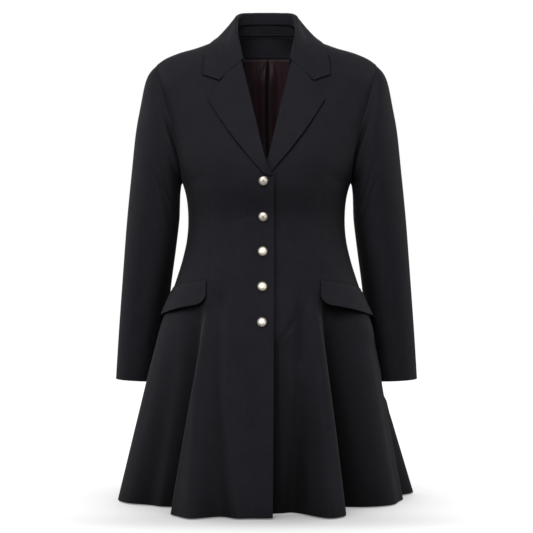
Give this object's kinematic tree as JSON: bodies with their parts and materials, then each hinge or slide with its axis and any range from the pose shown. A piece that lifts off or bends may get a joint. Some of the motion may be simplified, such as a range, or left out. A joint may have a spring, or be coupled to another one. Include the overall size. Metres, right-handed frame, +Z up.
{
  "type": "overcoat",
  "caption": "Fitted black overcoat with a flared skirt, notched lapels, slanted pocket flaps, domed metal buttons and long plain sleeves, filled out as worn",
  "frame": {"origin": "midway between the neck ends of the two shoulder seams, where the wearer's shoulders carry the coat", "axes": "+Z up the coat from hem to collar, -Y out of its front, -X towards the wearer's right sleeve"},
  "size_m": [0.5608, 0.4657, 0.9054],
  "materials": {
    "coat_cloth": "matte wool",
    "lining": "satin",
    "button_metal": "polished"
  },
  "bodies": {
    "root": {"front_right": "coat_cloth", "front_left": "coat_cloth", "back_right": "coat_cloth", "back_left": "coat_cloth", "sleeve_right_top": "coat_cloth", "sleeve_right_under": "coat_cloth", "sleeve_left_top": "coat_cloth", "sleeve_left_under": "coat_cloth", "lapel_right": "coat_cloth", "lapel_left": "coat_cloth", "collar_fall": "coat_cloth", "collar_stand": "coat_cloth", "flap_right": "coat_cloth", "flap_left": "coat_cloth", "back_neck_facing": "coat_cloth", "back_lining": "lining", "button_1": "button_metal", "button_2": "button_metal", "button_3": "button_metal", "button_4": "button_metal", "button_5": "button_metal"}
  },
  "joints": []
}
